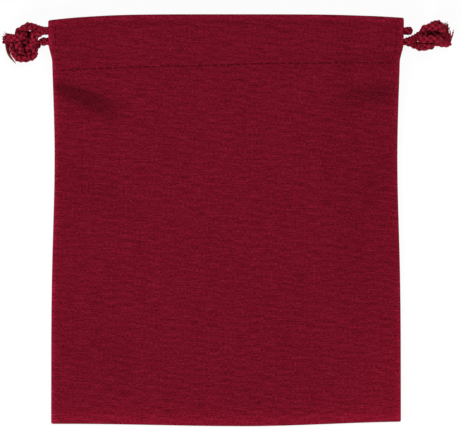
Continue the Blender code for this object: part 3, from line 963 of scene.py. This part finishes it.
def joined_tubes(name, tubes, lifts):
    """One object of many tubes, each point with its place between the hollows' colour and the tops'."""
    points, faces, lift = [], [], []
    for (tube_points, tube_faces), tube_lift in zip(tubes, lifts):
        first = len(points)
        points.extend(tube_points)
        faces.extend(tuple(first + v for v in face) for face in tube_faces)
        lift.extend(tube_lift)
    mesh = bpy.data.meshes.new(name)
    mesh.from_pydata(points, [], faces)
    mesh.shade_smooth()
    attribute = mesh.attributes.new("lift", "FLOAT", "POINT")
    attribute.data.foreach_set("value", np.array(lift, np.float32))
    return bpy.data.objects.new(name, mesh)


YARN_SIDES, YARN_STEP = 6, 0.00030
BRAID_RING, BRAID_YARN, BRAID_WEAVE = 0.26, 0.195, 0.085  # the yarns' ring, radius and wave, in cord sizes
SPARSE = 6  # every sixth point of the line stands for its neighbour strands
SAME_STRAND = 1.7  # cord sizes along the line, within which a strand paints no shade on itself
SHADED, CLEAR = 0.50, 0.96  # cord sizes to a neighbour strand, from full painted shade to none


def braid(name, line, finish, cord):
    """Yarns that wind both ways round the line, over and under each other."""
    path = smooth_line(line, YARN_STEP)
    centre, squeeze = path[:, :3], path[:, 3]
    across, up = frames_along(centre)
    run = np.concatenate([[0], np.cumsum(np.linalg.norm(np.diff(centre, axis=0), axis=1))])
    ring, yarn, weave = cord * BRAID_RING, cord * BRAID_YARN, cord * BRAID_WEAVE
    tubes, lifts = [], []
    sparse, sparse_run = centre[::SPARSE], run[::SPARSE]
    for way in (-1, 1):
        for k in range(finish.carriers):
            angle = way * 2 * math.pi * run / finish.braid_lead + 2 * math.pi * k / finish.carriers
            over = way * np.cos(finish.carriers * 2 * math.pi * run / finish.braid_lead)
            out = (ring + weave * over) * squeeze
            wound = centre + across * (np.cos(angle) * out)[:, None] + up * (np.sin(angle) * out)[:, None]
            wound[:, 2] = np.maximum(wound[:, 2], yarn * squeeze)
            tubes.append(tube(wound, yarn * squeeze, YARN_SIDES))
            # Painted shade: a yarn is darker where it passes under the others, and where it lies near a
            # neighbour strand inside the knot
            apart = np.linalg.norm(wound[:, None] - sparse[None], axis=2)
            apart[np.abs(run[:, None] - sparse_run[None]) < SAME_STRAND * cord] = cord
            clear = ease(SHADED * cord, CLEAR * cord, apart.min(axis=1))
            lifts.append(np.repeat((0.5 + 0.5 * over) * clear, YARN_SIDES))
    return joined_tubes(name, tubes, lifts), centre


# Loose fibres at each tail: way they point, their number, their length, how far they spread, and their
# thickness in cord sizes
FRAYS = {
    "left_a": ((-0.9, 0.4, -0.2), 26, 0.0016, 0.55, 0.06),
    "left_b": ((0.52, -0.95, -0.5), 11, 0.0082, 0.13, 0.12),
    "right_a": ((0.25, 0.95, 0.2), 90, 0.0030, 0.20, 0.09),
    "right_b": ((-0.1, 1.0, 0.15), 90, 0.0040, 0.22, 0.09),
}
FRAY_POINTS, FRAY_SIDES, FRAY_TIP = 9, 5, 0.4  # a fibre's points, sides, and tip against its root
FRAY_LENGTHS, FRAY_LIFTS = (0.6, 1.1), (0.4, 1)  # range of the lengths, and of how bright the tips get
FRAY_ROOT, FRAY_START = 0.15, 0.4  # cord sizes, how far the roots spread and how deep they start
FRAY_BOW, FRAY_CURL = 0.5, 0.12  # shares of a fibre's length
FRAY_DARK, FRAY_BRIGHT = 0.25, 0.8  # from the hollows' colour to the tips', at the root and beyond it
FIRST_SEED = 11
LOWEST_FIBRE = 0.0002  # above the table


def frayed_tail(name, start, direction, fray, seed, cord):
    """The cut end of the braid, opened into its fibres."""
    way, count, reach, spread, thick = fray
    source = np.random.default_rng(seed)
    tubes, lifts = [], []
    t = np.linspace(0, 1, FRAY_POINTS)[:, None]
    for _ in range(count):
        aim = np.array(way) / np.linalg.norm(way) + source.normal(size=3) * spread
        out = reach * source.uniform(*FRAY_LENGTHS)
        root = start + source.normal(size=3) * cord * FRAY_ROOT - direction * cord * FRAY_START
        curl = source.normal(size=3) * out * FRAY_CURL
        line = root + direction * out * FRAY_BOW * t * (1 - t) + aim * out * t + curl * t**2
        line[:, 2] = np.maximum(line[:, 2], LOWEST_FIBRE)
        radius = cord * mix(thick, thick * FRAY_TIP, t[:, 0] ** 2)
        tubes.append(tube(line, radius, FRAY_SIDES))
        lift = np.clip(FRAY_DARK + FRAY_BRIGHT * t[:, 0] * source.uniform(*FRAY_LIFTS), 0, 1)
        lifts.append(np.repeat(lift, FRAY_SIDES))
    return joined_tubes(name, tubes, lifts)


EXIT_READ = 0.058  # middle to where the channel's height is read for the cord's exit
TAIL_READ = 6  # points of the line before its end, that give the tail's direction


class POUCH_OT_cords(bpy.types.Operator):
    """Braids the two drawcords, ties their knots and frays their tails"""

    bl_idname = "pouch.cords"
    bl_label = "Drawcords"

    def execute(self, context):
        sizes, finish = settings()
        form = Form(sizes)
        yarn = yarn_material("braided_spun_yarn", finish, finish.cord_colour, finish.cord_shade)
        frayed = yarn_material(
            "frayed_yarn_ends", finish, finish.cord_colour, finish.cord_shade, tip=finish.fray_colour
        )
        near = form.top - sizes.cord_top
        lanes = {"left": near, "right": near - sizes.cord_pitch}
        for name, knot in KNOTS.items():
            side, lane = knot[0], lanes[name]
            line = cord_line(form, lane, knot, finish.free_size)
            obj, path = braid("braided_cord_" + name, line, finish, sizes.cord)
            link(obj, yarn)
            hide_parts("drawcord_" + name)
            ends = (("a", path[0], path[TAIL_READ]), ("b", path[-1], path[-1 - TAIL_READ]))
            for seed, (letter, end, before) in enumerate(ends, FIRST_SEED):
                direction = (end - before) / np.linalg.norm(end - before)
                fray = FRAYS[name + "_" + letter]
                tail = frayed_tail(f"frayed_tail_{name}_{letter}", end, direction, fray, seed, sizes.cord)
                link(tail, frayed if name == "left" else yarn)
            exit_z = float(form.front_cord(np.float64(side * EXIT_READ), lane))
        return {"FINISHED"}


# Stage

PHOTO_WIDTH, PHOTO_HEIGHT = 462, 440
MM_PER_PIXEL = 0.343
PHOTO_MIDDLE_OF_BAG = (226.0, 220.75)
LENS, SENSOR = 400.0, 36.0
CAMERA_FOCUS_Z = 0.008  # height at which a pixel has its stated size
CAMERA_SEES = (0.1, 10)
TABLE_SIZE, TABLE_Z = 3.0, -0.0001
TABLE_GLOW = 0.92  # share of the table's white that the camera sees as even light
WHITE = (1, 1, 1, 1)
ROOM_LIGHT = 0.30

# Lamps that point at the bag: place, size, power
LAMPS = {
    "window_front_left": ((-0.42, -0.55, 0.68), 0.40, 5.0),
    "lamp_above": ((0.18, 0.30, 0.95), 0.35, 4.4),
}


def laminate_material(finish):
    """White laminate, pressed matt: an even pale ground, without a mirror image of the bag.

    Seen directly or mirrored, it glows a little, so that it stays white and still takes a shadow.
    """
    material, tree, shader = new_material("matt_white_laminate", Roughness=0.9, Specular_IOR_Level=0.1)
    shader.inputs["Base Color"].default_value = (*finish.table_colour, 1)
    rays = add_node(tree, "ShaderNodeLightPath")
    mirrored = add_node(
        tree, "ShaderNodeMath", operation="ADD",
        links=[(0, rays.outputs["Is Glossy Ray"]), (1, rays.outputs["Is Transmission Ray"])],
    )
    direct = add_node(
        tree, "ShaderNodeMath", operation="ADD", use_clamp=True,
        links=[(0, rays.outputs["Is Camera Ray"]), (1, mirrored.outputs["Value"])],
    )
    seen = add_node(
        tree, "ShaderNodeMath", operation="MULTIPLY", values=[(1, TABLE_GLOW)],
        links=[(0, direct.outputs["Value"])],
    )
    glow = add_node(tree, "ShaderNodeEmission", values=[("Color", WHITE), ("Strength", 1.0)])
    blend = add_node(
        tree, "ShaderNodeMixShader",
        links=[(0, seen.outputs[0]), (1, shader.outputs["BSDF"]), (2, glow.outputs["Emission"])],
    )
    tree.links.new(blend.outputs["Shader"], tree.nodes["Material Output"].inputs["Surface"])
    return material


def table_top(finish):
    """The table's surface, just under the bag."""
    bpy.ops.object.select_all(action="DESELECT")
    bpy.ops.mesh.primitive_plane_add(size=TABLE_SIZE, location=(0, 0, TABLE_Z))
    table = bpy.context.object
    table.name = "table_top"
    bpy.ops.object.transform_apply(location=True, rotation=True, scale=True)
    table.data.materials.append(laminate_material(finish))


def area_light(name, place, size, power):
    """A round lamp that points at the middle of the bag."""
    data = bpy.data.lights.new(name, "AREA")
    data.shape = "DISK"
    data.size = size
    data.energy = power
    obj = bpy.data.objects.new(name, data)
    obj.location = place
    obj.rotation_euler = (-Vector(place)).to_track_quat("-Z", "Y").to_euler()
    bpy.context.scene.collection.objects.link(obj)


def soft_room():
    """Even light from all round."""
    world = bpy.data.worlds.new("soft_room")
    world.use_nodes = True
    background = world.node_tree.nodes["Background"]
    background.inputs["Color"].default_value = WHITE
    background.inputs["Strength"].default_value = ROOM_LIGHT
    return world


def camera_above():
    """A long lens straight above, framed as the photograph is."""
    data = bpy.data.cameras.new("straight_down")
    data.lens = LENS
    data.sensor_width = SENSOR
    data.clip_start, data.clip_end = CAMERA_SEES
    metres = MM_PER_PIXEL / 1000
    camera = bpy.data.objects.new("straight_down", data)
    camera.location = (
        (PHOTO_WIDTH / 2 - PHOTO_MIDDLE_OF_BAG[0]) * metres,
        (PHOTO_MIDDLE_OF_BAG[1] - PHOTO_HEIGHT / 2) * metres,
        PHOTO_WIDTH * metres * LENS / SENSOR + CAMERA_FOCUS_Z,
    )
    bpy.context.scene.collection.objects.link(camera)
    return camera


class POUCH_OT_stage(bpy.types.Operator):
    """Sets the table, the lights and the camera"""

    bl_idname = "pouch.stage"
    bl_label = "Stage"

    def execute(self, context):
        _, finish = settings()
        scene = bpy.context.scene
        table_top(finish)
        scene.world = soft_room()
        for name, lamp in LAMPS.items():
            area_light(name, *lamp)
        scene.view_settings.view_transform = "Standard"
        scene.camera = camera_above()
        return {"FINISHED"}


class POUCH_PT_panel(bpy.types.Panel):
    """Lists the steps that dress the pouch"""

    bl_label = "Pouch"
    bl_space_type = "VIEW_3D"
    bl_region_type = "UI"
    bl_category = "Pouch"

    def draw(self, context):
        for step in STEPS:
            self.layout.operator(step.bl_idname)


STEPS = (POUCH_OT_cloth, POUCH_OT_stitching, POUCH_OT_cords, POUCH_OT_stage)
CLASSES = (PouchSizes, PouchFinish, *STEPS, POUCH_PT_panel)


def register():
    for cls in CLASSES:
        bpy.utils.register_class(cls)
    bpy.types.Scene.pouch_sizes = PointerProperty(type=PouchSizes)
    bpy.types.Scene.pouch_finish = PointerProperty(type=PouchFinish)


def unregister():
    del bpy.types.Scene.pouch_finish
    del bpy.types.Scene.pouch_sizes
    for cls in reversed(CLASSES):
        bpy.utils.unregister_class(cls)


def main():
    register()
    bpy.ops.pouch.cloth()
    bpy.ops.pouch.stitching()
    bpy.ops.pouch.cords()
    bpy.ops.pouch.stage()


if __name__ == "__main__":
    main()
